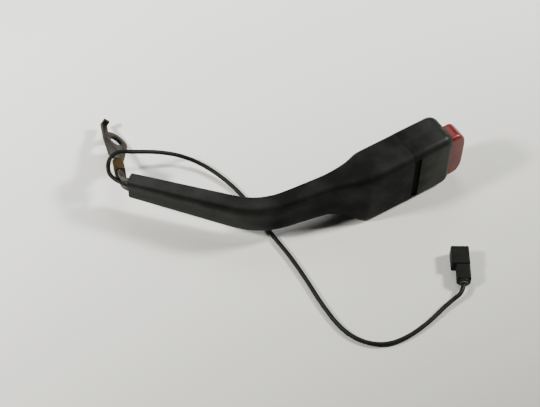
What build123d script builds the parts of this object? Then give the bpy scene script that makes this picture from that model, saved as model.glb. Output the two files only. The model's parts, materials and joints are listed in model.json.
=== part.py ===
from build123d import *
from math import cos, sin, radians, sqrt
import os

# Seat belt buckle on a curved moulded stalk, lying on its side edge.
# The origin is the middle of the tongue slot's mouth. +X points out of the mouth, +Y to the back
# cover, +Z across the buckle. The surface that it lies on is z = floor_z. Millimetres.

# Head: a front block, and a rear block that the boot covers
head_length = 74.0
front_length = 41.0
head_width = 60.0
head_thickness = 33.0
cover_wall = 2.0
head_corner = 10.0
head_edge = 7.0
inner_corner = 1.0
groove_length = 6.5
groove_width = 48.0
rib_width = 2.0
rib_overlap = 0.5
slot_height = 5.0
slot_lead_in = 0.8
slot_width = 31.0
channel_half = slot_height / 2
frame_gauge = 2.3
frame_setback = 4.0
plate_gap = 0.1
run_gap = 0.2
side_gap = 0.3

# Boot and sleeve
boot_wall = 2.0
boot_tail = 4.0
sleeve_top_width = 37.0
sleeve_top_depth = 17.0
sleeve_end_width = 23.0
sleeve_end_depth = 12.0
sleeve_corner = 5.0
sleeve_sections = 10
flare_steps = ((0.0, 1.0), (0.29, 0.7), (0.62, 0.26))

# Centre line of the stalk, in plan: two legs and the elbow between them
neck_length = 26.0
flare_length = 12.1
upper_length = 67.3
upper_angle = 172.3
lower_length = 111.1
lower_angle = 131.0
elbow_radius = 60.0

# Push button
button_width = 50.0
button_travel = 7.0
button_reach = 12.5
button_crown = 8.0
button_wall = 2.2
button_guide = 10.5
button_corner = 3.8
button_round = 2.5
leg_gauge = 2.0
leg_half = 3.0
leg_tail = 4.0

# Latch, ejector and lock bar
frame_width = 42.0
wall_height = 14.6
latch_gauge = 2.5
latch_width = 30.0
pivot_x = -50.0
pivot_y = -6.0
pivot_radius = 2.5
latch_nose_x = -22.0
ejector_length = 16.0
ejector_width = 18.0
ejector_front_x = -18.0
ejector_travel = 14.0
ejector_ramp = 8.0
ejector_nose = 1.5
lock_bar_radius = 2.0
lock_bar_x = -30.0
magnet_radius = 2.0
magnet_depth = 2.5
magnet_inset = 4.0
magnet_z = 5.5
spring_wire = 0.8
spring_turns = 5
spring_solid = 5.0
spring_end_gap = 0.5
button_spring_radius = 2.0
button_spring_z = 12.0
button_spring_offset = 2.1
ejector_spring_radius = 1.7

# Sensor housing and rope rivet
washer_gauge = 1.2
rivet_head = 1.5
rivet_head_radius = 4.0
sensor_length = 13.0
sensor_width = 12.0
sensor_height = 6.0
sensor_inset = 4.0
lead_drop = 1.5

# Rope, ferrule and anchor plate
rope_diameter = 5.0
strand_spacing = 10.0
rope_gap = 0.05
loop_inset = 10.0
rope_exit = 6.8
ferrule_length = 11.0
ferrule_height = 17.0
ferrule_depth = 9.0
ferrule_bend = 10.0
ferrule_offset = 9.0
ferrule_angle = 73.0
plate_gauge = 3.0
tab_height = 14.0
tab_depth = 4.0
eye_radius = 11.5
anchor_hole = 11.5
plate_angle = 71.0
plate_twist = 50.0
plate_pitch = 18.0
twist_length = 17.0
eye_reach = 26.0
eye_drop = 2.0
hook_reach = 22.0
hook_width = 5.0
hook_tip = 4.0

# Lead and connector
lead_diameter = 3.6
connector_length = 29.5
connector_width = 14.5
connector_height = 12.0
connector_neck = 11.0
connector_neck_length = 13.5
connector_angle = 57.6
terminal_pitch = 5.0
terminal_size = 1.9
terminal_length = 12.0
terminal_setback = 3.0
seal_radius = 3.5
seal_wall = 1.2
seal_boss = 2.0
seal_seat = 3.0

# Levels that follow from the sizes above
floor_z = -head_width / 2
frame_top = channel_half + plate_gap
frame_back = frame_top + frame_gauge
back_y = frame_back + plate_gap + cover_wall + boot_wall
front_y = back_y - head_thickness
mid_y = (back_y + front_y) / 2
inner_front = front_y + cover_wall
rear_inner_front = inner_front + boot_wall
rope_radius = rope_diameter / 2
rope_y = frame_top - rope_radius - rope_gap
strand_z = strand_spacing / 2
lead_radius = lead_diameter / 2
head_rear = -head_length
step_x = -front_length
loop_x = head_rear + loop_inset


def away(angle):
    """The unit vector at that angle from +X, in plan."""
    return Vector(cos(radians(angle)), sin(radians(angle)))


# Plan points of the stalk's centre line, at z = 0
neck = Vector(head_rear - neck_length, rope_y)
flare_end = neck + away(upper_angle) * flare_length
elbow = neck + away(upper_angle) * upper_length
sleeve_end = elbow + away(lower_angle) * lower_length
ferrule_corner = sleeve_end + away(lower_angle) * rope_exit


def cross_plane(point, direction):
    """A plane across the stalk, with its own x upwards along +Z."""
    return Plane(origin=point, x_dir=(0, 0, 1), z_dir=direction)


def rounded_block(x_rear, x_front, width, y_front, y_back, corner, edge):
    """A block with rounded front corners and rounded long edges, open-ended towards -X."""
    with BuildPart() as block:
        with BuildSketch(Plane.XZ.offset(-y_back)):
            with Locations(((x_rear + x_front) / 2, 0)):
                Rectangle(x_front - x_rear, width)
        extrude(amount=y_back - y_front)
        nose = block.faces().sort_by(Axis.X)[-1]
        fillet(nose.edges().filter_by(Axis.Y), corner)
        long_edges = block.faces().filter_by(Axis.Y).edges()
        fillet(long_edges.filter_by(lambda e: e.center().X > x_rear + 0.1), edge)
    return block.part


def arc_radii(points):
    """The largest fair radius at each inner point of a route of straight runs."""
    radii = []
    for before, at, after in zip(points, points[1:], points[2:]):
        half_turn = radians((at - before).get_angle(after - at) / 2)
        shorter = min((at - before).length, (after - at).length)
        radii.append(0.45 * shorter * cos(half_turn) / sin(half_turn))
    return radii


def box_between(low, high):
    """A box from one corner to the other."""
    size = Vector(*high) - Vector(*low)
    middle = (Vector(*high) + Vector(*low)) / 2
    return Pos(middle) * Box(size.X, size.Y, size.Z, mode=Mode.PRIVATE)


def tube_along(path, radius):
    """A round bar along a path."""
    with BuildPart() as tube:
        with BuildSketch(Plane(origin=path @ 0, z_dir=path % 0)):
            Circle(radius)
        sweep(path=path)
    return tube.part


def coil_spring(start, length, turns, radius, wire):
    """A compression spring along +X from its start point."""
    with BuildPart() as spring:
        coil = Helix(length / turns, length, radius, center=start, direction=(1, 0, 0))
        with BuildSketch(Plane(origin=coil @ 0, z_dir=coil % 0)):
            RegularPolygon(wire / 2, 6)
        sweep(path=coil, is_frenet=True)
    return spring.part


# Paths of the rope and of the lead
ferrule_rear = ferrule_corner + away(ferrule_angle) * ferrule_offset
ferrule_front = ferrule_rear + away(ferrule_angle) * ferrule_length
rope_end = ferrule_front - away(ferrule_angle) * (tab_depth + plate_gap)

with BuildLine() as strand_line:
    FilletPolyline(
        (loop_x, rope_y),
        neck,
        elbow,
        ferrule_corner,
        rope_end,
        radius=[elbow_radius, elbow_radius, ferrule_bend],
    )
strand_path = strand_line.wire()

with BuildLine() as stalk_line:
    FilletPolyline(flare_end, elbow, sleeve_end, radius=elbow_radius)
stalk_path = stalk_line.wire()

sensor_rear = head_rear + sensor_inset
sensor_y = mid_y - lead_drop
inner_lead_points = [
    Vector(sensor_rear, sensor_y),
    Vector(head_rear - 6.0, sensor_y),
    neck + Vector(10.0, -6.0),
    neck + Vector(-1.0, -1.2),
    flare_end + away(upper_angle) * 2.0,
    elbow,
    sleeve_end,
]
inner_lead_radii = arc_radii(inner_lead_points)
inner_lead_radii[-1] = elbow_radius
with BuildLine() as inner_lead_line:
    FilletPolyline(*inner_lead_points, radius=inner_lead_radii)
inner_lead_path = inner_lead_line.wire()


# Covers: two shells round one cavity, parted at the middle of the thickness. The rear block is
# smaller all round by the boot's wall, so the boot lies flush with the front block.
rear_edge = head_edge - boot_wall
front_outer = rounded_block(step_x, 0, head_width, front_y, back_y, head_corner, head_edge)
front_inner = rounded_block(
    step_x + groove_length + cover_wall,
    -cover_wall,
    head_width - 2 * cover_wall,
    inner_front,
    back_y - cover_wall,
    head_corner - cover_wall,
    inner_corner,
)
button_top = inner_front + 0.4
button_base = -channel_half - 1.7
button_mid = (button_top + button_base) / 2
button_depth = button_base - button_top
button_spring_y = button_mid - button_spring_offset

with BuildPart() as head_shell:
    add(front_outer)
    with BuildSketch(Plane.YZ.offset(head_rear)) as rear_block:
        with Locations((mid_y, 0)):
            RectangleRounded(head_thickness - 2 * boot_wall, head_width - 2 * boot_wall, rear_edge)
    extrude(amount=head_length - front_length + 1)
    # Grooves across the two wide faces, in front of the boot's rim
    for outer_y, inward in ((back_y, -1), (front_y, 1)):
        with BuildSketch(Plane.XZ.offset(-outer_y)) as groove:
            with Locations((step_x + groove_length / 2, 0)):
                Rectangle(groove_length, groove_width)
        extrude(amount=-inward * boot_wall, mode=Mode.SUBTRACT)
    # Cavity
    add(front_inner, mode=Mode.SUBTRACT)
    with BuildSketch(Plane.YZ.offset(head_rear + cover_wall)) as rear_cavity:
        with Locations((mid_y, 0)):
            RectangleRounded(
                head_thickness - 2 * boot_wall - 2 * cover_wall,
                head_width - 2 * boot_wall - 2 * cover_wall,
                inner_corner,
            )
    extrude(amount=head_length - front_length + groove_length + 1, mode=Mode.SUBTRACT)
    # Tongue slot, with a lead-in all round
    with BuildSketch(Plane.YZ) as slot_mouth:
        Rectangle(slot_height + 2 * slot_lead_in, slot_width + 2 * slot_lead_in)
    with BuildSketch(Plane.YZ.offset(-cover_wall)) as slot_throat:
        Rectangle(slot_height, slot_width)
    loft(mode=Mode.SUBTRACT)
    # Button window
    with BuildSketch(Plane.YZ.offset(-head_corner - 1)) as window:
        with Locations((button_mid, 0)):
            RectangleRounded(button_depth + 2 * run_gap, button_width + 2 * run_gap, 4)
    extrude(amount=head_corner + 2, mode=Mode.SUBTRACT)
    # Rear opening for the rope and the lead
    rope_hole_depth = frame_top - sensor_y + 2 * lead_radius
    with BuildSketch(Plane.YZ.offset(head_rear - 1)) as rear_opening:
        with Locations((frame_top - rope_hole_depth / 2, 0)):
            RectangleRounded(rope_hole_depth, strand_spacing + rope_diameter + 3, 2)
    extrude(amount=cover_wall + 2, mode=Mode.SUBTRACT)

seam = Plane.XZ.offset(-mid_y)
seat_x = lock_bar_x - 1.0
seat_z = button_spring_z + button_spring_radius + 2.0
seat_y = button_spring_y + button_spring_radius + spring_wire / 2
spring_seat = box_between((seat_x - 2, inner_front - 0.5, -seat_z), (seat_x, seat_y, seat_z))
rib_front = -frame_setback - cover_wall
rib_rear = step_x + groove_length + cover_wall + 1.0
rib_z = frame_width / 2 - 6.0
with BuildPart() as cover_front:
    add(head_shell.part)
    split(bisect_by=seam, keep=Keep.TOP)
    add(spring_seat)
cover_front.part.label = "cover_front"

with BuildPart() as cover_back:
    add(head_shell.part)
    split(bisect_by=seam, keep=Keep.BOTTOM)
    # Ribs under the front of the latch frame
    with BuildSketch(Plane.XZ.offset(-frame_back - plate_gap)) as ribs:
        with Locations(((rib_front + rib_rear) / 2, rib_z), ((rib_front + rib_rear) / 2, -rib_z)):
            Rectangle(rib_front - rib_rear, rib_width)
    extrude(amount=-boot_wall - rib_overlap)
cover_back.part.label = "cover_back"


# Push button: crowned face, two legs for the lock bar, two spring bosses
button_face_x = button_reach
guide_front = -cover_wall - run_gap
guide_rear = guide_front - button_guide
leg_outer = button_width / 2 - 0.5
leg_inner = leg_outer - leg_gauge
lock_bar_y = pivot_y - latch_gauge / 2 - lock_bar_radius - 0.4
with BuildPart() as push_button:
    with BuildSketch(Plane.XZ.offset(-button_base)) as crown:
        with BuildLine():
            Polyline(
                (button_face_x - button_crown, button_width / 2),
                (guide_rear, button_width / 2),
                (guide_rear, -button_width / 2),
                (button_face_x - button_crown, -button_width / 2),
            )
            ThreePointArc(
                (button_face_x - button_crown, -button_width / 2),
                (button_face_x, 0),
                (button_face_x - button_crown, button_width / 2),
            )
        make_face()
    extrude(amount=button_depth)
    fillet(push_button.edges().filter_by(Axis.X), button_corner)
    fillet(push_button.faces().sort_by(Axis.X)[-1].edges(), button_round)
    with BuildSketch(Plane.YZ.offset(guide_rear)) as hollow:
        with Locations((button_mid, 0)):
            RectangleRounded(button_depth - 2 * button_wall, button_width - 2 * button_wall, 2)
    extrude(amount=button_face_x - button_crown - button_wall - guide_rear, mode=Mode.SUBTRACT)
    with BuildSketch(Plane.YZ.offset(guide_rear)) as bosses:
        with Locations((button_spring_y, button_spring_z), (button_spring_y, -button_spring_z)):
            Circle(button_spring_radius + 1.0)
    extrude(amount=button_face_x - button_crown - guide_rear)
    with BuildSketch(Plane.XY.offset(leg_inner)) as leg_side:
        with BuildLine():
            Polyline(
                (guide_rear + leg_gauge, lock_bar_y - leg_half),
                (lock_bar_x - leg_tail, lock_bar_y - leg_half),
                (lock_bar_x - leg_tail, lock_bar_y + leg_half),
                (guide_rear + leg_gauge, lock_bar_y + leg_half),
                close=True,
            )
        make_face()
        with Locations((lock_bar_x, lock_bar_y)):
            Circle(lock_bar_radius + rope_gap, mode=Mode.SUBTRACT)
    extrude(amount=leg_outer - leg_inner)
    mirror(push_button.part, about=Plane.XY)
push_button.part.label = "push_button"

# Button springs: between the bosses and the seat in the front cover
button_spring_start = (seat_x + spring_end_gap, button_spring_y, 0)
button_spring_length = guide_rear - seat_x - 2 * spring_end_gap
button_spring = coil_spring(
    button_spring_start, button_spring_length, spring_turns, button_spring_radius, spring_wire
)
with BuildPart() as button_springs:
    with Locations((0, 0, button_spring_z), (0, 0, -button_spring_z)):
        add(button_spring)
button_springs.part.label = "button_springs"


# Frame: a steel channel with slots for the lock bar and holes for the latch's pivot
frame_rear = head_rear + cover_wall + run_gap
wall_front = -21.5
wall_rear = pivot_x - pivot_radius - 2.0
spring_stop_x = ejector_front_x - ejector_length - ejector_travel - spring_solid
spring_stop = box_between(
    (spring_stop_x - 1.5, -channel_half + side_gap, -5), (spring_stop_x, frame_top + 0.5, 5)
)
with BuildPart() as latch_frame:
    with BuildSketch(Plane.XZ.offset(-frame_back)) as base:
        with Locations(((frame_rear - frame_setback) / 2, 0)):
            Rectangle(-frame_setback - frame_rear, frame_width)
    extrude(amount=frame_gauge)
    with BuildSketch(Plane.XY.offset(frame_width / 2 - frame_gauge)) as wall:
        with BuildLine():
            Polyline(
                (-frame_setback, frame_back),
                (wall_rear, frame_back),
                (wall_rear, frame_back - wall_height - frame_gauge),
                (wall_front, frame_back - wall_height - frame_gauge),
                (wall_front, -channel_half),
                (-frame_setback, -channel_half),
                close=True,
            )
        make_face()
        fillet(wall.vertices().group_by(Axis.Y)[0], 3)
        with Locations((pivot_x, pivot_y)):
            Circle(pivot_radius + rope_gap, mode=Mode.SUBTRACT)
        with Locations((lock_bar_x - button_travel / 2, lock_bar_y)):
            SlotCenterToCenter(button_travel, 2 * (lock_bar_radius + run_gap), mode=Mode.SUBTRACT)
    extrude(amount=frame_gauge)
    mirror(latch_frame.part, about=Plane.XY)
    # Hole of the rope rivet
    with BuildSketch(Plane.XZ.offset(-frame_back - 1)) as rivet_hole:
        with Locations((loop_x, 0)):
            Circle(strand_z - rope_radius - rope_gap)
    extrude(amount=frame_gauge + 2, mode=Mode.SUBTRACT)
    # Upturned stop for the ejector spring
    add(spring_stop)
latch_frame.part.label = "latch_frame"

# Latch plate: a flat plate with a turned-down nose and a pivot rod along its rear edge
with BuildPart() as latch_plate:
    with BuildSketch(Plane.XY.offset(-latch_width / 2)) as latch_side:
        with BuildLine():
            Polyline(
                (pivot_x, pivot_y - latch_gauge / 2),
                (latch_nose_x, pivot_y - latch_gauge / 2),
                (latch_nose_x, -channel_half - 0.7),
                (latch_nose_x - latch_gauge, -channel_half - 0.7),
                (latch_nose_x - latch_gauge, pivot_y + latch_gauge / 2),
                (pivot_x, pivot_y + latch_gauge / 2),
                close=True,
            )
        make_face()
    extrude(amount=latch_width)
    with BuildSketch(Plane.XY.offset(-frame_width / 2 + side_gap)) as pivot_rod:
        with Locations((pivot_x, pivot_y)):
            Circle(pivot_radius)
    extrude(amount=frame_width - 2 * side_gap)
latch_plate.part.label = "latch_plate"

# Lock bar: a round bar across the legs of the button, over the latch
with BuildPart() as lock_bar:
    with BuildSketch(Plane.XY.offset(-leg_outer)) as bar_end:
        with Locations((lock_bar_x, lock_bar_y)):
            Circle(lock_bar_radius)
    extrude(amount=2 * leg_outer)
lock_bar.part.label = "lock_bar"

# Ejector: a slide on the frame with a ramp at its front and a pocket for the magnet
ejector_rear = ejector_front_x - ejector_length
ejector_top = -channel_half + side_gap
magnet_x = ejector_rear + magnet_inset
with BuildPart() as ejector:
    with BuildSketch(Plane.XY.offset(-ejector_width / 2)) as ejector_side:
        with BuildLine():
            Polyline(
                (ejector_rear, ejector_top),
                (ejector_front_x - ejector_ramp, ejector_top),
                (ejector_front_x, frame_top - plate_gap - ejector_nose),
                (ejector_front_x, frame_top - plate_gap),
                (ejector_rear, frame_top - plate_gap),
                close=True,
            )
        make_face()
    extrude(amount=ejector_width)
    with BuildSketch(Plane.XZ.offset(-ejector_top)) as magnet_pocket:
        with Locations((magnet_x, magnet_z)):
            Circle(magnet_radius + rope_gap)
    extrude(amount=-magnet_depth, mode=Mode.SUBTRACT)
ejector.part.label = "ejector"

with BuildPart() as ejector_magnet:
    with BuildSketch(Plane.XZ.offset(-ejector_top)) as magnet_face:
        with Locations((magnet_x, magnet_z)):
            Circle(magnet_radius)
    extrude(amount=-magnet_depth)
ejector_magnet.part.label = "ejector_magnet"

spring_start = (spring_stop_x + spring_end_gap, frame_top - ejector_spring_radius - 1.0, 0)
spring_length = ejector_rear - spring_stop_x - 2 * spring_end_gap
ejector_coil = coil_spring(
    spring_start, spring_length, spring_turns, ejector_spring_radius, spring_wire
)
with BuildPart() as ejector_spring:
    add(ejector_coil)
ejector_spring.part.label = "ejector_spring"


# Rope rivet and washer: the rope's loop is held on the frame
washer_y = rope_y - rope_radius - rope_gap
rivet_radius = strand_z - rope_radius - 2 * rope_gap
with BuildPart() as rope_rivet:
    with BuildSketch(Plane.XZ.offset(-frame_back)) as shank:
        with Locations((loop_x, 0)):
            Circle(rivet_radius)
    extrude(amount=frame_back - washer_y + washer_gauge)
    with BuildSketch(Plane.XZ.offset(washer_gauge - washer_y)) as head:
        with Locations((loop_x, 0)):
            Circle(rivet_head_radius)
    extrude(amount=rivet_head)
    fillet(rope_rivet.edges().sort_by(Axis.Y)[0], rivet_head / 2)
rope_rivet.part.label = "rope_rivet"

with BuildPart() as rope_washer:
    with BuildSketch(Plane.XZ.offset(-washer_y)) as washer_face:
        with Locations((loop_x, 0)):
            Circle(strand_z + rope_radius)
            Circle(rivet_radius + rope_gap, mode=Mode.SUBTRACT)
    extrude(amount=washer_gauge)
rope_washer.part.label = "rope_washer"

# Sensor housing over the rivet, with the lead out of its rear
sensor_base = washer_y - washer_gauge - rivet_head - plate_gap
sensor_post = box_between(
    (sensor_rear + 4, rear_inner_front + plate_gap, -3),
    (sensor_rear + 9, sensor_base - sensor_height / 2, 3),
)
with BuildPart() as sensor_housing:
    with BuildSketch(Plane.YZ.offset(sensor_rear)) as sensor_end:
        with Locations((sensor_base - sensor_height / 2, 0)):
            RectangleRounded(sensor_height, sensor_width, 1.0)
    extrude(amount=sensor_length)
    add(sensor_post)
sensor_housing.part.label = "sensor_housing"


# Wire rope: two strands and the loop round the rivet
strand = tube_along(strand_path, rope_radius)
with BuildPart() as wire_rope:
    with Locations((0, 0, strand_z), (0, 0, -strand_z)):
        add(strand)
    loop_arc = ThreePointArc(
        (loop_x, rope_y, -strand_z), (loop_x + strand_z, rope_y, 0), (loop_x, rope_y, strand_z)
    )
    with BuildSketch(Plane(origin=(loop_x, rope_y, -strand_z), z_dir=(1, 0, 0))):
        Circle(rope_radius)
    sweep(path=loop_arc)
wire_rope.part.label = "wire_rope"

inner_lead = tube_along(inner_lead_path, lead_radius)
with BuildPart() as lead_inner:
    add(inner_lead)
lead_inner.part.label = "lead_inner"


# Stalk sleeve: one moulding from the cup round the head down to the ferrule
cup_rear = head_rear - boot_tail
strand_bore = tube_along(strand_path, rope_radius + rope_gap)
lead_bore = tube_along(inner_lead_path, lead_radius + rope_gap)
with BuildPart() as stalk_sleeve:
    for along, share in flare_steps:
        flare_x = cup_rear + (flare_end.X - cup_rear) * along
        flare_y = rope_y + (mid_y - rope_y) * share
        with BuildSketch(cross_plane(Vector(flare_x, flare_y), Vector(-1, 0.3 * (1 - share)))):
            RectangleRounded(
                sleeve_top_width + (head_width - sleeve_top_width) * share,
                sleeve_top_depth + (head_thickness - sleeve_top_depth) * share,
                sleeve_corner + (head_edge - sleeve_corner) * share,
            )
    for step in range(sleeve_sections + 1):
        along = step / sleeve_sections
        with BuildSketch(cross_plane(stalk_path @ along, stalk_path % along)):
            RectangleRounded(
                sleeve_top_width + (sleeve_end_width - sleeve_top_width) * along,
                sleeve_top_depth + (sleeve_end_depth - sleeve_top_depth) * along,
                sleeve_corner,
            )
    loft()
    with BuildSketch(Plane.YZ.offset(cup_rear)) as cup:
        with Locations((mid_y, 0)):
            RectangleRounded(head_thickness, head_width, head_edge)
    extrude(amount=step_x - plate_gap - cup_rear)
    with BuildSketch(Plane.YZ.offset(head_rear - plate_gap)) as head_seat:
        with Locations((mid_y, 0)):
            RectangleRounded(
                head_thickness - 2 * boot_wall + 2 * plate_gap,
                head_width - 2 * boot_wall + 2 * plate_gap,
                rear_edge,
            )
    extrude(amount=head_length - front_length + 1, mode=Mode.SUBTRACT)
    with Locations((0, 0, strand_z), (0, 0, -strand_z)):
        add(strand_bore, mode=Mode.SUBTRACT)
    add(lead_bore, mode=Mode.SUBTRACT)
stalk_sleeve.part.label = "stalk_sleeve"


# Ferrule: a swaged block on both strands, slotted for the anchor plate
ferrule_plane = cross_plane(ferrule_rear, away(ferrule_angle))
front_plane = cross_plane(ferrule_front, away(ferrule_angle))
with BuildPart() as rope_ferrule:
    with BuildSketch(ferrule_plane):
        RectangleRounded(ferrule_height, ferrule_depth, 3)
    extrude(amount=ferrule_length)
    fillet(rope_ferrule.faces().filter_by(GeomType.PLANE).sort_by(Axis.Y)[0].edges(), 0.8)
    with BuildSketch(ferrule_plane.offset(-1)):
        with Locations((strand_z, 0), (-strand_z, 0)):
            Circle(rope_radius + rope_gap)
    extrude(amount=ferrule_length - tab_depth + 1, mode=Mode.SUBTRACT)
    with BuildSketch(front_plane.offset(-tab_depth)):
        Rectangle(tab_height + 2 * rope_gap, plate_gauge + 2 * rope_gap)
    extrude(amount=tab_depth + 1, mode=Mode.SUBTRACT)
rope_ferrule.part.label = "rope_ferrule"

# Anchor plate: a tab in the ferrule, a twisted neck, an eye and a hooked tail. The plate leans by
# plate_twist, slopes down by plate_pitch, and the eye's rim touches the surface.
lean = radians(plate_twist)
slope = radians(plate_pitch)
plate_dir = away(plate_angle) * cos(slope) - Vector(0, 0, sin(slope))
side = away(plate_angle - 90)
upward = side.cross(plate_dir)
plate_normal = side * cos(lean) + upward * sin(lean)
plate_up = upward * cos(lean) - side * sin(lean)
eye_low = eye_radius * sqrt(1 - plate_normal.Z**2) + plate_gauge / 2 * plate_normal.Z
neck_z = floor_z + eye_low + eye_drop * plate_up.Z - eye_reach * plate_dir.Z
neck_end = ferrule_front + away(plate_angle) * twist_length + Vector(0, 0, neck_z)
neck_plane = Plane(origin=neck_end, x_dir=plate_up, z_dir=plate_dir)
plate_plane = Plane(origin=neck_end - plate_normal * (plate_gauge / 2), x_dir=plate_dir, z_dir=plate_normal)
with BuildPart() as anchor_plate:
    with BuildSketch(front_plane.offset(-tab_depth + rope_gap)):
        Rectangle(tab_height, plate_gauge)
    extrude(amount=tab_depth - rope_gap)
    with BuildSketch(front_plane):
        Rectangle(tab_height, plate_gauge)
    with BuildSketch(neck_plane):
        Rectangle(tab_height, plate_gauge)
    loft(ruled=True)
    with BuildSketch(plate_plane) as plate_outline:
        with BuildLine():
            Polyline(
                (0, -tab_height / 2),
                (0, tab_height / 2),
                (eye_reach, eye_radius - eye_drop),
                (eye_reach, -eye_drop - eye_radius),
                close=True,
            )
        make_face()
        with Locations((eye_reach, -eye_drop)):
            Circle(eye_radius)
        with Locations((eye_reach + hook_reach / 2, eye_radius - eye_drop - hook_width / 2)):
            Rectangle(hook_reach, hook_width)
        with Locations((eye_reach, -eye_drop)):
            Circle(anchor_hole / 2, mode=Mode.SUBTRACT)
    extrude(amount=plate_gauge)
    tip_plane = plate_plane.shift_origin(plate_plane.from_local_coords((eye_reach + hook_reach, 0, 0)))
    with BuildSketch(tip_plane):
        with Locations((-plate_gauge / 2, eye_radius - eye_drop - hook_width / 2)):
            Rectangle(plate_gauge, hook_width)
    extrude(amount=plate_gauge + hook_tip)
anchor_plate.part.label = "anchor_plate"


# Connector: housing with a mouth wider on its left, two terminals and a lead seal
connector_rear = Vector(-52.4, -113.2, floor_z + connector_height / 2)
connector_dir = away(connector_angle)
connector_left = away(connector_angle + 90)
rear_plane = Plane(origin=connector_rear, x_dir=connector_left, z_dir=connector_dir)
mouth_shift = (connector_width - connector_neck) / 2
terminal_start = connector_length - terminal_length - terminal_setback
terminal_places = (
    (mouth_shift + terminal_pitch / 2, 0),
    (mouth_shift - terminal_pitch / 2, 0),
)
with BuildPart() as connector_housing:
    with BuildSketch(rear_plane):
        RectangleRounded(connector_neck, connector_height - 2, 1.5)
    extrude(amount=connector_neck_length)
    with BuildSketch(rear_plane.offset(connector_neck_length)):
        with Locations((mouth_shift, 0)):
            RectangleRounded(connector_width, connector_height, 1.0)
    extrude(amount=connector_length - connector_neck_length)
    with BuildSketch(rear_plane.offset(-seal_boss)):
        Circle(seal_radius + seal_wall)
    extrude(amount=seal_boss)
    with BuildSketch(rear_plane.offset(-seal_boss)):
        Circle(seal_radius + rope_gap)
    extrude(amount=seal_boss + seal_seat, mode=Mode.SUBTRACT)
    with BuildSketch(rear_plane.offset(terminal_start)):
        with Locations(*terminal_places):
            Rectangle(terminal_size + side_gap, terminal_size + side_gap)
    extrude(amount=connector_length - terminal_start, mode=Mode.SUBTRACT)
connector_housing.part.label = "connector_housing"

with BuildPart() as connector_terminals:
    with BuildSketch(rear_plane.offset(terminal_start)):
        with Locations(*terminal_places):
            Rectangle(terminal_size, terminal_size)
    extrude(amount=terminal_length)
connector_terminals.part.label = "connector_terminals"

with BuildPart() as connector_seal:
    with BuildSketch(rear_plane.offset(-seal_boss - 1)):
        Circle(seal_radius)
        Circle(lead_radius + rope_gap, mode=Mode.SUBTRACT)
    extrude(amount=seal_boss + 1 + seal_seat)
connector_seal.part.label = "connector_seal"

# Lead: from the sleeve's end round the anchor plate's neck, under the elbow and to the connector
lead_rest = floor_z + lead_radius + 0.3
lead_points = [
    sleeve_end,
    sleeve_end + away(lower_angle) * 9.0,
    Vector(-249.0, 109.6, -0.4),
    Vector(-248.3, 115.6, 0.4),
    Vector(-245.4, 121.1, 2.8),
    Vector(-239.9, 124.9, 4.4),
    Vector(-231.9, 125.6, 4.6),
    Vector(-223.7, 122.3, 1.6),
    Vector(-212.4, 121.1, -4.5),
    Vector(-200.5, 119.5, -11.0),
    Vector(-184.1, 113.0, -19.0),
    Vector(-171.7, 99.8, -24.0),
    Vector(-163.3, 80.7, -26.0),
    Vector(-157.5, 57.6, lead_rest),
    Vector(-157.0, 32.7, lead_rest),
    Vector(-157.4, 6.9, lead_rest),
    Vector(-155.9, -18.3, lead_rest),
    Vector(-156.7, -43.7, lead_rest),
    Vector(-158.8, -68.8, lead_rest),
    Vector(-158.6, -95.6, lead_rest),
    Vector(-152.1, -113.7, lead_rest),
    Vector(-138.4, -126.4, lead_rest),
    Vector(-120.4, -130.2, lead_rest),
    Vector(-98.1, -128.3, lead_rest + 0.2),
    Vector(-73.3, -122.0, lead_rest + 1.4),
    connector_rear - connector_dir * 9.5,
    connector_rear + connector_dir * seal_seat,
]
lead_radii = arc_radii(lead_points)
with BuildLine() as lead_line:
    FilletPolyline(*lead_points, radius=lead_radii)
lead_path = lead_line.wire()
lead_tube = tube_along(lead_path, lead_radius)
with BuildPart() as lead:
    add(lead_tube)
lead.part.label = "lead"
print("lead radii", [round(r, 1) for r in lead_radii])
print("lead length", round(lead_path.length, 1), "volume", round(lead.part.volume, 1))
print("section x length", round(3.14159 * lead_radius**2 * lead_path.length, 1))


pieces = (
    cover_front,
    cover_back,
    push_button,
    button_springs,
    lock_bar,
    latch_frame,
    latch_plate,
    ejector,
    ejector_magnet,
    ejector_spring,
    rope_rivet,
    rope_washer,
    sensor_housing,
    wire_rope,
    lead_inner,
    stalk_sleeve,
    rope_ferrule,
    anchor_plate,
    connector_housing,
    connector_terminals,
    connector_seal,
    lead,
)
os.makedirs("parts", exist_ok=True)
for piece in pieces:
    export_step(piece.part, "parts/" + piece.part.label + ".step")
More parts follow.
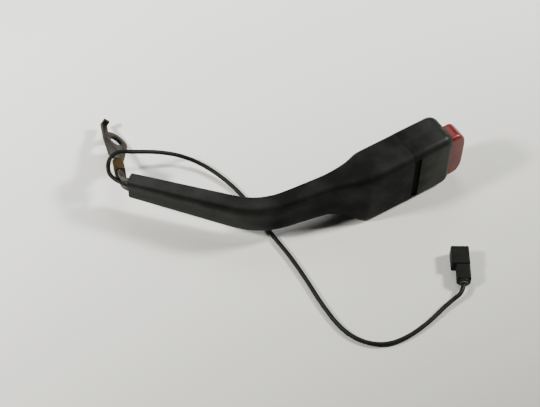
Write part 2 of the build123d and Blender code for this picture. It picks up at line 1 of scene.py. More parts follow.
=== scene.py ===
import bpy
import bmesh
import json
import math
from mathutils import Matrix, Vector

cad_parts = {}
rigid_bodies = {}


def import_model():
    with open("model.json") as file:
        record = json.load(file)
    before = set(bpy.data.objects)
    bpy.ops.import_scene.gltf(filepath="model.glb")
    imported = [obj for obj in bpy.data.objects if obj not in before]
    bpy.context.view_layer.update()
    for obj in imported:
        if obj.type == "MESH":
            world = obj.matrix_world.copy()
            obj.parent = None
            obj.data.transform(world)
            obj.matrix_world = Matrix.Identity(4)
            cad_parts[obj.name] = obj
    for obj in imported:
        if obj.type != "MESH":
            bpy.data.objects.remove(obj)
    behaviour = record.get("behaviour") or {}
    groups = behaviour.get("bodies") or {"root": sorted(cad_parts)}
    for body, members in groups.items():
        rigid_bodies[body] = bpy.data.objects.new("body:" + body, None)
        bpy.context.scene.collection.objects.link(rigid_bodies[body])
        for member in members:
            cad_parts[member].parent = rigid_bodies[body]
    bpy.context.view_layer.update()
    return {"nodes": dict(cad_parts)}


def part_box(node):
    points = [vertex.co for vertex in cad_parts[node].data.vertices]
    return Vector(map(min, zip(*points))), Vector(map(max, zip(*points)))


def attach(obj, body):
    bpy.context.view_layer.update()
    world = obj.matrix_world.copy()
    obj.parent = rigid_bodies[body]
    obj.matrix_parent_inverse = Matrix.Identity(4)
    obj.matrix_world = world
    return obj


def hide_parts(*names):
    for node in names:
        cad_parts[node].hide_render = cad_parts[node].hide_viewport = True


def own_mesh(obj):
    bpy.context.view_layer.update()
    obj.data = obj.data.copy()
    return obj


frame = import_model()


# Camera: a long lens from above and to the side, so the head points up to the right.
# It looks at the middle of the area that the stalk and its lead cover.
view_turn = math.radians(31.7)
view_height = math.radians(54.0)
view_distance = 1.062
view_target = Vector((-0.1420, 0.0349, -0.028))
look = Vector((
    math.sin(view_turn) * math.cos(view_height),
    math.cos(view_turn) * math.cos(view_height),
    -math.sin(view_height),
))
camera_data = bpy.data.cameras.new("camera")
camera_data.lens = 85.0
camera = bpy.data.objects.new("camera", camera_data)
camera.location = view_target - look * view_distance
camera.rotation_euler = look.to_track_quat("-Z", "Y").to_euler()
bpy.context.scene.collection.objects.link(camera)
bpy.context.scene.camera = camera


# Plug: a two-way housing injection moulded in black nylon, wide at its mouth and stepped down to
# a boss. Two tinned brass terminals snap into it, and a soft seal closes it round the lead.
def linear(code):
    """A colour from sRGB hex, as linear red, green, blue and alpha."""
    parts = [int(code[i : i + 2], 16) / 255 for i in (0, 2, 4)]
    return [p / 12.92 if p <= 0.04045 else ((p + 0.055) / 1.055) ** 2.4 for p in parts] + [1.0]


def add_node(tree, kind, links=(), **settings):
    """Adds a node, sets its inputs or properties, and links sources to its inputs."""
    node = tree.nodes.new(kind)
    for name, value in settings.items():
        if hasattr(node, name):
            setattr(node, name, value)
        else:
            node.inputs[name.replace("_", " ")].default_value = value
    for source, name in links:
        tree.links.new(source, node.inputs[name])
    return node


def new_material(name, **shader_values):
    """A material with one shader; its constants are on the shader's own sockets."""
    material = bpy.data.materials.new(name)
    material.use_nodes = True
    shader = material.node_tree.nodes["Principled BSDF"]
    for key, value in shader_values.items():
        shader.inputs[key.replace("_", " ")].default_value = value
    return material, material.node_tree, shader


def drift(tree, shader, pattern, colours, gloss=None, span=(0.35, 0.65)):
    """Along a pattern, the colour goes from one shade to another, and the roughness with it."""
    ramp = add_node(tree, "ShaderNodeValToRGB", [(pattern, "Fac")])
    for stop in (0, 1):
        ramp.color_ramp.elements[stop].position = span[stop]
        ramp.color_ramp.elements[stop].color = linear(colours[stop])
    tree.links.new(ramp.outputs["Color"], shader.inputs["Base Color"])
    if gloss:
        rough = add_node(
            tree, "ShaderNodeMapRange", [(pattern, "Value")], To_Min=gloss[0], To_Max=gloss[1],
        )
        tree.links.new(rough.outputs["Result"], shader.inputs["Roughness"])


def per_metre(size_mm):
    """How often a pattern of that size, in millimetres, comes in a metre."""
    return 1000 / size_mm


def raise_surface(tree, shader, layers):
    """Bumps, one over another: each layer is a height pattern and its depth in metres."""
    below = None
    for height, depth in layers:
        bump = add_node(tree, "ShaderNodeBump", [(height, "Height")], Strength=1.0, Distance=depth)
        if below:
            tree.links.new(below.outputs["Normal"], bump.inputs["Normal"])
        below = bump
    tree.links.new(below.outputs["Normal"], shader.inputs["Normal"])


def deselect_all():
    """Leaves nothing selected, so that the next operator works on its own piece only."""
    for other in bpy.context.scene.objects:
        other.select_set(False)


def work_on(piece):
    """Makes one piece the only one selected."""
    deselect_all()
    piece.select_set(True)
    bpy.context.view_layer.objects.active = piece


def smooth(piece, degrees):
    """Shades a piece smooth up to an angle."""
    work_on(piece)
    bpy.ops.object.shade_smooth_by_angle(angle=math.radians(degrees))


same_point = 0.000002  # verts this close are one
flat_angle = math.radians(0.5)  # triangles that meet flatter than this are one face
sharp_angle = math.radians(35)  # edges sharper than this are eased


def eased_copy(node, name, ease, body, where=lambda middle: True):
    """A copy of a CAD solid, its triangles joined and its sharp edges eased where a test says."""
    piece = bpy.data.objects.new(name, frame["nodes"][node].data.copy())
    bpy.context.scene.collection.objects.link(piece)
    piece.data.materials.clear()
    work_on(piece)
    bpy.ops.mesh.customdata_custom_splitnormals_clear()
    bpy.ops.object.mode_set(mode="EDIT")
    bpy.ops.mesh.select_all(action="SELECT")
    bpy.ops.mesh.remove_doubles(threshold=same_point)
    bpy.ops.mesh.dissolve_limited(angle_limit=flat_angle)
    bpy.ops.mesh.select_mode(type="EDGE")
    mesh = bmesh.from_edit_mesh(piece.data)
    for part in list(mesh.verts) + list(mesh.faces):
        part.select_set(False)
    for edge in mesh.edges:
        sharp = len(edge.link_faces) == 2 and edge.calc_face_angle() > sharp_angle
        edge.select_set(sharp and where((edge.verts[0].co + edge.verts[1].co) / 2))
    bmesh.update_edit_mesh(piece.data)
    bpy.ops.mesh.bevel(offset=ease, segments=2, profile=0.5, affect="EDGES", clamp_overlap=True)
    bpy.ops.object.mode_set(mode="OBJECT")
    smooth(piece, 30)
    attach(piece, body)
    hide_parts(node)
    return piece


def plated(name, low, high, blotch_mm, gloss):
    """A plated metal: colour and gloss drift in blotches, over pits drawn wide enough to show."""
    material, tree, shader = new_material(name, Metallic=1.0)
    place = add_node(tree, "ShaderNodeTexCoord").outputs["Object"]
    blotch = add_node(tree, "ShaderNodeTexNoise", [(place, "Vector")], Scale=per_metre(blotch_mm), Detail=5.0)
    fine = add_node(tree, "ShaderNodeTexNoise", [(place, "Vector")], Scale=per_metre(0.667), Detail=2.0)
    drift(tree, shader, blotch.outputs["Fac"], (low, high), gloss)
    raise_surface(tree, shader, [(blotch.outputs["Fac"], 0.00004), (fine.outputs["Fac"], 0.00002)])
    return material


def dress(material, *nodes):
    """Gives CAD nodes one material."""
    for node in nodes:
        frame["nodes"][node].data.materials.clear()
        frame["nodes"][node].data.materials.append(material)


# Moulded nylon: it looks black and dull, with cloudy patches from the moisture that it takes up.
# The mould's grain is about 0.1 mm, too fine to show, and is drawn at 0.8 mm
nylon, tree, shader = new_material("moulded_nylon", Specular_IOR_Level=0.1)
place = add_node(tree, "ShaderNodeTexCoord").outputs["Object"]
cloud = add_node(tree, "ShaderNodeTexNoise", [(place, "Vector")], Scale=per_metre(9.09), Detail=4.0)
grain = add_node(tree, "ShaderNodeTexNoise", [(place, "Vector")], Scale=per_metre(0.769), Detail=2.0)
drift(tree, shader, cloud.outputs["Fac"], ("070707", "0F0F0E"), (0.5, 0.68))
raise_surface(tree, shader, [(grain.outputs["Fac"], 0.00004)])
housing = eased_copy(
    "connector_housing", "plug_housing", ease=0.0003, body="buckle",
)
housing.data.materials.append(nylon)
# Tinned brass: two pale, slightly warm glints in the mouth
dress(plated("tinned_brass", "B9B4A6", "CFCBC0", 3.33, (0.3, 0.4)), "connector_terminals")
# Soft silicone: matt and dark grey, a shade lighter than the housing that it closes
silicone, tree, shader = new_material("soft_silicone", IOR=1.41)
place = add_node(tree, "ShaderNodeTexCoord").outputs["Object"]
bloom = add_node(tree, "ShaderNodeTexNoise", [(place, "Vector")], Scale=per_metre(3.33), Detail=3.0)
drift(tree, shader, bloom.outputs["Fac"], ("2A2B2B", "373838"), (0.6, 0.75))
dress(silicone, "connector_seal")


# Sensor lead: two thin cores in one black PVC sheath, extruded over them. It leaves the lower end
# of the sleeve between the two ropes, turns round the anchor plate's neck, passes under the
# elbow and lies on the table up to its plug.
def route_curve(name, points_mm):
    """A smooth curve with those route points, in millimetres, as its control points."""
    curve = bpy.data.curves.new(name, "CURVE")
    curve.dimensions = "3D"
    curve.resolution_u = 12
    spline = curve.splines.new("NURBS")
    spline.points.add(len(points_mm) - 1)
    for point, place in zip(spline.points, points_mm):
        point.co = (place[0] / 1000, place[1] / 1000, place[2] / 1000, 1.0)
    spline.order_u = 3
    spline.use_endpoint_u = True
    route = bpy.data.objects.new(name, curve)
    bpy.context.scene.collection.objects.link(route)
    return route


lead_diameter = 0.0036
lead_route = [
    (-239.6, 92.9, 0.0),
    (-245.5, 99.7, 0.0),
    (-249.0, 109.6, -0.4),
    (-248.3, 115.6, 0.4),
    (-245.4, 121.1, 2.8),
    (-239.9, 124.9, 4.4),
    (-231.9, 125.6, 4.6),
    (-223.7, 122.3, 1.6),
    (-212.4, 121.1, -4.5),
    (-200.5, 119.5, -11.0),
    (-184.1, 113.0, -19.0),
    (-171.7, 99.8, -24.0),
    (-163.3, 80.7, -26.0),
    (-157.5, 57.6, -27.9),
    (-157.0, 32.7, -27.9),
    (-157.4, 6.9, -27.9),
    (-155.9, -18.3, -27.9),
    (-156.7, -43.7, -27.9),
    (-158.8, -68.8, -27.9),
    (-158.6, -95.6, -27.9),
    (-152.1, -113.7, -27.9),
    (-138.4, -126.4, -27.9),
    (-120.4, -130.2, -27.9),
    (-98.1, -128.3, -27.7),
    (-73.3, -122.0, -26.5),
    (-57.5, -121.2, -24.0),
    (-50.8, -110.7, -24.0),
]
lead = route_curve("lead_sheath", lead_route)
lead.data.bevel_depth = lead_diameter / 2
lead.data.bevel_resolution = 5
lead.data.use_fill_caps = True
# Extruded PVC: it looks satin and nearly black, with finger dust. The die's drag marks are finer
# than 0.1 mm and are drawn at 0.7 mm to show
pvc, tree, shader = new_material("extruded_pvc", Specular_IOR_Level=0.13)
place = add_node(tree, "ShaderNodeTexCoord").outputs["Object"]
smears = add_node(tree, "ShaderNodeTexNoise", [(place, "Vector")], Scale=per_metre(5.56), Detail=4.0)
drag = add_node(tree, "ShaderNodeTexNoise", [(place, "Vector")], Scale=per_metre(0.714), Detail=2.0)
drift(tree, shader, smears.outputs["Fac"], ("080807", "11110F"), (0.42, 0.6))
raise_surface(tree, shader, [(drag.outputs["Fac"], 0.00004)])
lead.data.materials.append(pvc)
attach(lead, "buckle")
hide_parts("lead")


# Stalk sleeve: one elastomer moulding over both wire ropes, with a deep cup that grips the rear
# of the head. It is modelled straight from its rim, then bent along the stalk's centre line.
def finish_with(piece, kind, name, **settings):
    """Adds a modifier with its settings and applies it."""
    work_on(piece)
    modifier = piece.modifiers.new(name, kind)
    for key, value in settings.items():
        setattr(modifier, key, value)
    bpy.ops.object.modifier_apply(modifier=name)


def start_box(name, low, high):
    """A box between two corners, ready to be shaped in edit mode."""
    deselect_all()
    middle = [(a + b) / 2 for a, b in zip(low, high)]
    bpy.ops.mesh.primitive_cube_add(size=1.0, location=middle)
    piece = bpy.context.object
    piece.name = name
    piece.scale = [b - a for a, b in zip(low, high)]
    bpy.ops.object.transform_apply(location=True, rotation=True, scale=True)
    bpy.ops.object.mode_set(mode="EDIT")
    return piece


def pick(piece, kind, test):
    """Selects the faces or edges whose middle, and facing or direction, pass a test."""
    bpy.ops.mesh.select_mode(type={"faces": "FACE", "edges": "EDGE"}[kind])
    mesh = bmesh.from_edit_mesh(piece.data)
    for part in list(mesh.verts) + list(mesh.edges) + list(mesh.faces):
        part.select_set(False)
    for part in getattr(mesh, kind):
        if kind == "edges":
            middle = (part.verts[0].co + part.verts[1].co) / 2
            facing = (part.verts[1].co - part.verts[0].co).normalized()
        else:
            middle, facing = part.calc_center_median(), part.normal
        if test(middle, facing):
            part.select_set(True)
    bmesh.update_edit_mesh(piece.data)


def curve_length(guide):
    """The length of a curve along its own sampled line."""
    line = bpy.data.meshes.new_from_object(guide)
    spots = [v.co.copy() for v in line.vertices]
    bpy.data.meshes.remove(line)
    return sum((b - a).length for a, b in zip(spots, spots[1:]))


def grow(step, widen=(1.0, 1.0), middle=(0.0, 0.0, 0.0)):
    """Extrudes what is selected along X, then scales its end section about a middle."""
    bpy.ops.mesh.extrude_region_move(TRANSFORM_OT_translate={"value": (step, 0, 0)})
    bpy.ops.transform.resize(value=(1.0, widen[0], widen[1]), center_override=middle)


# The cup's outside and its rounding, its wall and its solid tail, then the sleeve's section where
# the flare ends and at the lower end
cup_wide, cup_deep, cup_long, cup_round = 0.060, 0.033, 0.0369, 0.007
cup_wall, cup_tail, cup_lip = 0.0018, 0.004, 0.0004
top_wide, top_deep, end_wide, end_deep = 0.037, 0.017, 0.023, 0.012
sleeve_guide = route_curve("sleeve_guide", [
    (-41.1, -7.5, 0.0),
    (-70.0, -7.5, 0.0),
    (-82.0, -7.5, 0.0),
    (-105.0, 0.4, 0.0),
    (-121.9, 3.0, 0.0),
    (-166.7, 9.1, 0.0),
    (-196.3, 43.2, 0.0),
    (-239.6, 92.9, 0.0),
])
sleeve_guide.data.resolution_u = 48
sleeve_long = curve_length(sleeve_guide)
flare_long = 0.0355
taper_start = cup_long + flare_long

sleeve = start_box(
    "sleeve_moulding", (0, -cup_deep / 2, -cup_wide / 2), (cup_long, cup_deep / 2, cup_wide / 2),
)
pick(sleeve, "edges", lambda middle, along: abs(along.x) > 0.9)
bpy.ops.mesh.bevel(offset=cup_round, segments=5, profile=0.5, affect="EDGES")
# Flare from the cup to the top of the sleeve: how far along it, and how much of the cup is left
flare_shares = [
    (0.1, 0.955), (0.2, 0.84), (0.3, 0.69), (0.41, 0.52), (0.52, 0.37), (0.64, 0.24), (0.76, 0.13),
    (0.88, 0.05), (1.0, 0.0),
]
taper_rings = 24
stations = []
for along, share in flare_shares:
    stations.append((
        cup_long + flare_long * along,
        top_deep + (cup_deep - top_deep) * share,
        top_wide + (cup_wide - top_wide) * share,
    ))
for step in range(1, taper_rings + 1):
    along = step / taper_rings
    stations.append((
        taper_start + (sleeve_long - taper_start) * along,
        top_deep + (end_deep - top_deep) * along,
        top_wide + (end_wide - top_wide) * along,
    ))
pick(sleeve, "faces", lambda middle, facing: facing.x > 0.9)
reach, deep, wide = cup_long, cup_deep, cup_wide
for x, new_deep, new_wide in stations:
    grow(x - reach, (new_deep / deep, new_wide / wide), (x, 0, 0))
    reach, deep, wide = x, new_deep, new_wide
# Domed lower end, then the cup's thin lip, its wall and its hollow down to the tail
dome = 0.0004
bpy.ops.mesh.inset(thickness=2 * dome)
bpy.ops.transform.translate(value=(dome, 0, 0))
pick(sleeve, "faces", lambda middle, facing: facing.x < -0.9)
bpy.ops.mesh.inset(thickness=cup_lip)
bpy.ops.mesh.inset(thickness=cup_wall - cup_lip)
bpy.ops.mesh.extrude_region_move(TRANSFORM_OT_translate={"value": (cup_long - cup_tail, 0, 0)})
# Lengthwise cuts across the broad faces, for the valley between the two ropes
valley_cuts = (-0.0085, -0.006, -0.004, -0.002, 0.0, 0.002, 0.004, 0.006, 0.0085)
for z in valley_cuts:
    bpy.ops.mesh.select_all(action="SELECT")
    bpy.ops.mesh.bisect(plane_co=(0, 0, z), plane_no=(0, 0, 1))
bpy.ops.object.mode_set(mode="OBJECT")
# Rounded edges over the two ropes, with a shallow valley between them. A point attribute says how much
# painted light each point gets: none in a painted shade band below the front's upper edge, more above
# and below that band, and more towards the bottom of the cup
rounding, valley = 0.4, 0.0004
form_start, form_long = cup_long + 0.016, 0.045  # where the rounding sets in, and over what length
band_at, band_half = 0.74, 0.3  # in half widths of the section
painted_light_lift = sleeve.data.attributes.new("painted_light_lift", "FLOAT", "POINT")
for v in sleeve.data.vertices:
    along = (v.co.x - form_start) / form_long
    if along <= 0:
        painted_light_lift.data[v.index].value = 0.0 if v.co.z > 0.0 else min(1.0, -v.co.z / (cup_wide / 2))
        continue
    share = min(1.0, along) ** 2 * (3 - 2 * min(1.0, along))
    down = max(0.0, min(1.0, (v.co.x - taper_start) / (sleeve_long - taper_start)))
    half_deep = (top_deep + (end_deep - top_deep) * down) / 2
    half_wide = (top_wide + (end_wide - top_wide) * down) / 2
    # Where the point is in its section, from -1 to 1 each way, and how far out past the ropes
    a, b = v.co.y / half_deep, v.co.z / half_wide
    out = (abs(b) - 0.5) / 0.5
    # Painted shade band below the front's upper edge, with painted light above and below it
    painted_light_lift.data[v.index].value = 1.0 - math.exp(-(((b - band_at) / band_half) ** 2))
    if out > 0:
        length = math.hypot(a, out)
        round_a, round_b = a / length, math.copysign(0.5 + 0.5 * out / length, b)
        v.co.y += (round_a - a) * half_deep * share * rounding
        v.co.z += (round_b - b) * half_wide * share * rounding
    elif abs(a) > 0.9:
        v.co.y -= math.copysign(valley * share * math.cos(b * math.pi) ** 2, a)
finish_with(sleeve, "CURVE", "bend", object=sleeve_guide, deform_axis="POS_X")
finish_with(
    sleeve, "BEVEL", "soft_rim", width=0.0003, segments=2, limit_method="ANGLE",
    angle_limit=math.radians(50),
)
finish_with(sleeve, "SUBSURF", "round", levels=1, render_levels=1)
smooth(sleeve, 75)
bpy.data.objects.remove(sleeve_guide)
# Moulded thermoplastic elastomer: it looks dull and black with a fine eroded grain and random clouds
# of tone. From the elbow down, painted light makes it greyer, except in a painted shade band below the
# front's upper edge. The grain is about 0.2 mm, too fine to show, and is drawn at 1.1 mm
elastomer, tree, shader = new_material("moulded_elastomer", Specular_IOR_Level=0.09)
place = add_node(tree, "ShaderNodeTexCoord").outputs["Object"]
clouds = add_node(tree, "ShaderNodeTexNoise", [(place, "Vector")], Scale=per_metre(22.2), Detail=5.0)
parts = add_node(tree, "ShaderNodeSeparateXYZ", [(place, "Vector")])
# How far the painted light reaches: none above the elbow, most at the lower end
lower = add_node(
    tree, "ShaderNodeMapRange", [(parts.outputs["X"], "Value")], From_Min=-0.155,
    From_Max=-0.205, To_Min=0.0, To_Max=0.7,
)
painted_light_lift_read = add_node(tree, "ShaderNodeAttribute", attribute_name="painted_light_lift")
# Painted light: that reach times the point attribute, then added to the clouds of tone
painted_light = add_node(
    tree, "ShaderNodeMath", [(lower.outputs["Result"], 0), (painted_light_lift_read.outputs["Fac"], 1)],
    operation="MULTIPLY",
)
clouds_and_painted_light = add_node(
    tree, "ShaderNodeMath", [(clouds.outputs["Fac"], 0), (painted_light.outputs["Value"], 1)],
    operation="ADD",
)
grain = add_node(tree, "ShaderNodeTexNoise", [(place, "Vector")], Scale=per_metre(1.11), Detail=3.0)
drift(tree, shader, clouds_and_painted_light.outputs["Value"], ("070807", "242524"), (0.8, 0.5), span=(0.4, 1.0))
raise_surface(tree, shader, [(grain.outputs["Fac"], 0.00006)])
sleeve.data.materials.append(elastomer)
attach(sleeve, "buckle")
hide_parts("stalk_sleeve")


# Covers: two injection-moulded ABS shells that snap together round the latch, parted along the
# middle of the thickness. Their edges are eased as the tool's are, and the parting line shows.

# Moulded ABS: it looks black and satin with an eroded grain, rubbed paler and shinier towards
# the button end. Towards the side that it lies on it is painted paler, as painted light bounced from
# the table. The grain is about 0.2 mm, too fine to show, and is drawn at 0.9 mm
abs_black, tree, shader = new_material("moulded_abs", Specular_IOR_Level=0.09)
place = add_node(tree, "ShaderNodeTexCoord").outputs["Object"]
clouds = add_node(tree, "ShaderNodeTexNoise", [(place, "Vector")], Scale=per_metre(18.2), Detail=5.0)
parts = add_node(tree, "ShaderNodeSeparateXYZ", [(place, "Vector")])
handled = add_node(
    tree, "ShaderNodeMapRange", [(parts.outputs["X"], "Value")], From_Min=-0.036,
    From_Max=-0.004, To_Max=0.55,
)
# Painted light: paler towards the lower side, as if lit by the table below
painted_bounce_light = add_node(
    tree, "ShaderNodeMapRange", [(parts.outputs["Z"], "Value")], From_Min=0.014,
    From_Max=-0.024, To_Max=0.4,
)
wear_and_painted_light = add_node(
    tree, "ShaderNodeMath", [(handled.outputs["Result"], 0), (painted_bounce_light.outputs["Result"], 1)],
    operation="ADD",
)
rub_and_painted_light = add_node(
    tree, "ShaderNodeMath", [(clouds.outputs["Fac"], 0), (wear_and_painted_light.outputs["Value"], 1)],
    operation="ADD",
)
grain = add_node(tree, "ShaderNodeTexNoise", [(place, "Vector")], Scale=per_metre(0.909), Detail=3.0)
drift(tree, shader, rub_and_painted_light.outputs["Value"], ("070807", "1C1D1B"), (0.88, 0.4), span=(0.45, 1.0))
raise_surface(tree, shader, [(grain.outputs["Fac"], 0.00004)])
# The same plastic in the two grooves, made dull and almost black as painted shade in the recess
groove_shade_material, tree, shader = new_material("painted_shade_groove", Roughness=0.9, Specular_IOR_Level=0.08)
shader.inputs["Base Color"].default_value = linear("141414")
seam_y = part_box("cover_back")[0][1]
# The grooves run across both wide faces, from one X to another; their floor and the wide face
# are this far from the parting line
groove_rear, groove_front, groove_half = -0.0412, -0.0344, 0.0242
groove_floor, wide_face, near = 0.0145, 0.0164, 0.0001
# The parting line is on the outside past these, and the sleeve's cup covers what is behind its rim
outer_side, outer_end, cup_rim = 0.0285, -0.011, -0.0408


def outer_seam(middle):
    """Says whether an edge is on the parting line, where the two shells meet outside."""
    on_outside = abs(middle.z) > outer_side or middle.x > outer_end
    clear_of_cup = middle.x > cup_rim
    return abs(middle.y - seam_y) < 5 * same_point and on_outside and clear_of_cup


for node in ("cover_front", "cover_back"):
    cover = eased_copy(
        node, node + "_shell", ease=0.0003, body="buckle", where=outer_seam,
    )
    cover.data.materials.append(abs_black)
    cover.data.materials.append(groove_shade_material)
    # The groove's floor and walls take the dark material, as painted shade
    for face in cover.data.polygons:
        x, high = face.center.x, abs(face.center.y - seam_y)
        floor = x < groove_front and abs(high - groove_floor) < near
        wall = groove_floor + near < high < wide_face and abs(face.center.z) < groove_half
        if floor or (groove_rear < x < groove_front and wall):
            face.material_index = 1


# Push button: glossy red ABS with a crowned face, moulded in one with its two legs and guided by
# the window of the covers.
button = eased_copy(
    "push_button", "button_moulding", ease=0.0006, body="button",
)
# The crown is fuller towards its two ends than one plain arc, and no higher than its middle
crown_start, crown_top, crown_half, fullness = 0.0043, 0.01249, 0.025, 0.008
for v in button.data.vertices:
    if v.co.x > crown_start:
        share = min(1.0, abs(v.co.z) / crown_half)
        v.co.x = min(crown_top, v.co.x + fullness * (share ** 2 - share ** 5))
# Glossy moulded ABS: it looks deep red and wet, with finger smears that dull it in patches
abs_red, tree, shader = new_material("gloss_red_abs", Specular_IOR_Level=0.25)
place = add_node(tree, "ShaderNodeTexCoord").outputs["Object"]
smears = add_node(tree, "ShaderNodeTexNoise", [(place, "Vector")], Scale=per_metre(14.3), Detail=4.0)
drift(tree, shader, smears.outputs["Fac"], ("4E0F0A", "5E1811"), (0.26, 0.42))
raise_surface(tree, shader, [(smears.outputs["Fac"], 0.00003)])
button.data.materials.append(abs_red)


# Latch: pressed steel frame, latch plate, lock bar and rivet, zinc plated; a sliding ejector
# of natural acetal with a magnet for the sensor; springs of drawn wire. They show in the slot.
# Bright zinc: light grey, faintly clouded, with a soft shine in the slot
zinc = plated("bright_zinc", "9A9B9A", "B8B9B7", 5.0, (0.3, 0.45))
dress(zinc, "latch_frame", "latch_plate", "lock_bar", "rope_rivet", "rope_washer")
# Drawn spring wire: darker than the zinc, with a sharper shine along each coil
wire = plated("drawn_spring_wire", "7C7D7E", "9A9B9C", 3.33, (0.25, 0.35))
dress(wire, "button_springs", "ejector_spring")
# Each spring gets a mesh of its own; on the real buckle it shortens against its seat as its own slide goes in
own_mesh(frame["nodes"]["button_springs"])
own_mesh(frame["nodes"]["ejector_spring"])
# Nickel: the smoothest of the metals here, slightly warm
dress(plated("nickel_magnet", "8F8D88", "A5A39D", 4.0, (0.2, 0.3)), "ejector_magnet")
# Natural acetal: it looks milky white and waxy, with faint clouds
acetal, tree, shader = new_material("natural_acetal", IOR=1.48)
place = add_node(tree, "ShaderNodeTexCoord").outputs["Object"]
milk = add_node(tree, "ShaderNodeTexNoise", [(place, "Vector")], Scale=per_metre(8.33), Detail=3.0)
drift(tree, shader, milk.outputs["Fac"], ("D9D8D0", "E6E5DE"), (0.3, 0.42))
dress(acetal, "ejector")
# The switch's housing and the lead inside the stalk look as their outer fellows do
dress(nylon, "sensor_housing")
dress(pvc, "lead_inner")


# Wire rope: one galvanised steel rope of six strands, doubled. It runs from the ferrule up
# through the sleeve, round the rivet in the head and back, and shows bare above the ferrule.
rope_across, strands, strand_groove, strand_fullness = 0.005, 6, 0.2, 0.6
lay_length, rings = 0.030, 420
rope_guide = route_curve("rope_guide", [
    (-239.4, 113.2, 5.0),
    (-240.8, 108.6, 5.0),
    (-244.0, 98.1, 5.0),
    (-236.8, 89.8, 5.0),
    (-196.3, 43.2, 5.0),
    (-166.7, 9.1, 5.0),
    (-121.9, 3.0, 5.0),
    (-108.0, 1.1, 5.0),
    (-100.0, 0.05, 5.0),
    (-92.0, 0.05, 5.0),
    (-69.0, 0.05, 5.0),
    (-59.0, 0.05, 5.0),
    (-59.0, 0.05, -5.0),
    (-69.0, 0.05, -5.0),
    (-92.0, 0.05, -5.0),
    (-100.0, 0.05, -5.0),
    (-108.0, 1.1, -5.0),
    (-121.9, 3.0, -5.0),
    (-166.7, 9.1, -5.0),
    (-196.3, 43.2, -5.0),
    (-236.8, 89.8, -5.0),
    (-244.0, 98.1, -5.0),
    (-240.8, 108.6, -5.0),
    (-239.4, 113.2, -5.0),
])
rope_guide.data.resolution_u = 24
rope_long = curve_length(rope_guide)
deselect_all()
bpy.ops.mesh.primitive_circle_add(
    vertices=6 * strands, radius=rope_across / 2, fill_type="NGON", rotation=(0, math.pi / 2, 0),
)
rope = bpy.context.object
rope.name = "rope_strands"
bpy.ops.object.transform_apply(location=True, rotation=True, scale=True)
for v in rope.data.vertices:
    turn = math.atan2(v.co.z, v.co.y)
    v.co *= 1.0 - strand_groove * (1.0 - abs(math.sin(strands / 2 * turn)) ** strand_fullness)
bpy.ops.object.mode_set(mode="EDIT")
bpy.ops.mesh.select_all(action="SELECT")
bpy.ops.mesh.extrude_region_move(TRANSFORM_OT_translate={"value": (rope_long, 0, 0)})
bpy.ops.object.mode_set(mode="OBJECT")
# The strands lie round the rope, one turn in each lay length
sides = bmesh.new()
sides.from_mesh(rope.data)
lengthwise = [e for e in sides.edges if abs(e.verts[0].co.x - e.verts[1].co.x) > 0.001]
bmesh.ops.subdivide_edges(sides, edges=lengthwise, cuts=rings, use_grid_fill=True)
for v in sides.verts:
    twist = v.co.x / lay_length * 2 * math.pi
    y, z = v.co.y, v.co.z
    v.co.y = y * math.cos(twist) - z * math.sin(twist)
    v.co.z = y * math.sin(twist) + z * math.cos(twist)
bmesh.ops.recalc_face_normals(sides, faces=sides.faces)
sides.to_mesh(rope.data)
sides.free()
finish_with(rope, "CURVE", "lead_along", object=rope_guide, deform_axis="POS_X")
smooth(rope, 60)
bpy.data.objects.remove(rope_guide)
# Galvanised wire: dark grey and dull, in short patches along the strands
rope.data.materials.append(plated("galvanised_wire", "35332F", "565450", 2.0, (0.45, 0.65)))
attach(rope, "buckle")
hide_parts("wire_rope")


# Ferrule and anchor plate: a steel ferrule swaged on both ropes, and a 3 mm pressed plate with
# a twisted neck, an eye for the seat bolt and a hooked tail. Both are zinc plated.

# Yellow-passivated zinc: dark brass yellow with olive blotches, and a soft shine
yellow_zinc = plated("yellow_passivated_zinc", "382E1A", "50442C", 6.25, (0.42, 0.62))
ferrule = eased_copy(
    "rope_ferrule", "swaged_ferrule", ease=0.0004, body="buckle",
)
ferrule.data.materials.append(yellow_zinc)
plate = eased_copy(
    "anchor_plate", "pressed_plate", ease=0.0004, body="buckle",
)
# Older zinc plating on the plate: duller and greyer than the ferrule's
dull_zinc = plated("dull_zinc", "24211C", "3A362F", 7.14, (0.45, 0.65))
plate.data.materials.append(dull_zinc)


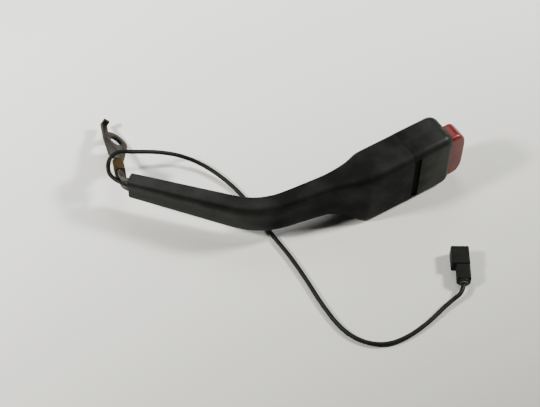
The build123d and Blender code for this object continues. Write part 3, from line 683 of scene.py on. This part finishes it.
# Table and lights: a pale sheet of paper that the head's side and the lead rest on, under two
# small lamps, one each side, and a wide soft one overhead.
floor_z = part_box("stalk_sleeve")[0][2]
deselect_all()
bpy.ops.mesh.primitive_plane_add(size=8.0, location=(0, 0, floor_z))
table = bpy.context.object
table.name = "table"
# Drawing paper: it looks pale and matt, with faint clouds, and is painted darker towards its near edge as
# painted shade
paper, tree, shader = new_material("pale_paper", Roughness=0.9, Specular_IOR_Level=0.2)
place = add_node(tree, "ShaderNodeTexCoord").outputs["Object"]
parts = add_node(tree, "ShaderNodeSeparateXYZ", [(place, "Vector")])
# Painted shade: the paper goes darker towards its near edge
painted_falloff = add_node(
    tree, "ShaderNodeMapRange", [(parts.outputs["Y"], "Value")], From_Min=-0.28, From_Max=0.3,
)
clouds = add_node(tree, "ShaderNodeTexNoise", [(place, "Vector")], Scale=per_metre(71.4), Detail=4.0)
drift(tree, shader, painted_falloff.outputs["Result"], ("8F8F89", "FAFAF4"), span=(0.0, 1.0))
raise_surface(tree, shader, [(clouds.outputs["Fac"], 0.0012)])
table.data.materials.append(paper)

lit_middle = Vector((-0.14, 0.03, floor_z))


def lamp(name, towards, distance, size, power, tint):
    """A square area lamp that stands in that direction from the middle of the object."""
    data = bpy.data.lights.new(name, "AREA")
    data.size = size
    data.energy = power
    data.color = tint
    light = bpy.data.objects.new(name, data)
    direction = Vector(towards).normalized()
    light.location = lit_middle + direction * distance
    light.rotation_euler = (-direction).to_track_quat("-Z", "Y").to_euler()
    bpy.context.scene.collection.objects.link(light)


lamp(
    "lamp_left", towards=(-26.9, 7.3, 25.0), distance=1.25, size=0.16, power=23.0,
    tint=(1.0, 0.985, 0.955),
)
lamp(
    "lamp_right", towards=(32.0, -12.0, 28.0), distance=1.5, size=0.24, power=37.0,
    tint=(1.0, 0.99, 0.965),
)
lamp(
    "lamp_ceiling", towards=(0.31, 0.5, 0.81), distance=1.6, size=0.9, power=13.0,
    tint=(0.96, 0.985, 1.0),
)
world = bpy.data.worlds.new("room")
bpy.context.scene.world = world
world.use_nodes = True
world.node_tree.nodes["Background"].inputs["Color"].default_value = (0.95, 0.96, 0.95, 1.0)
world.node_tree.nodes["Background"].inputs["Strength"].default_value = 0.04
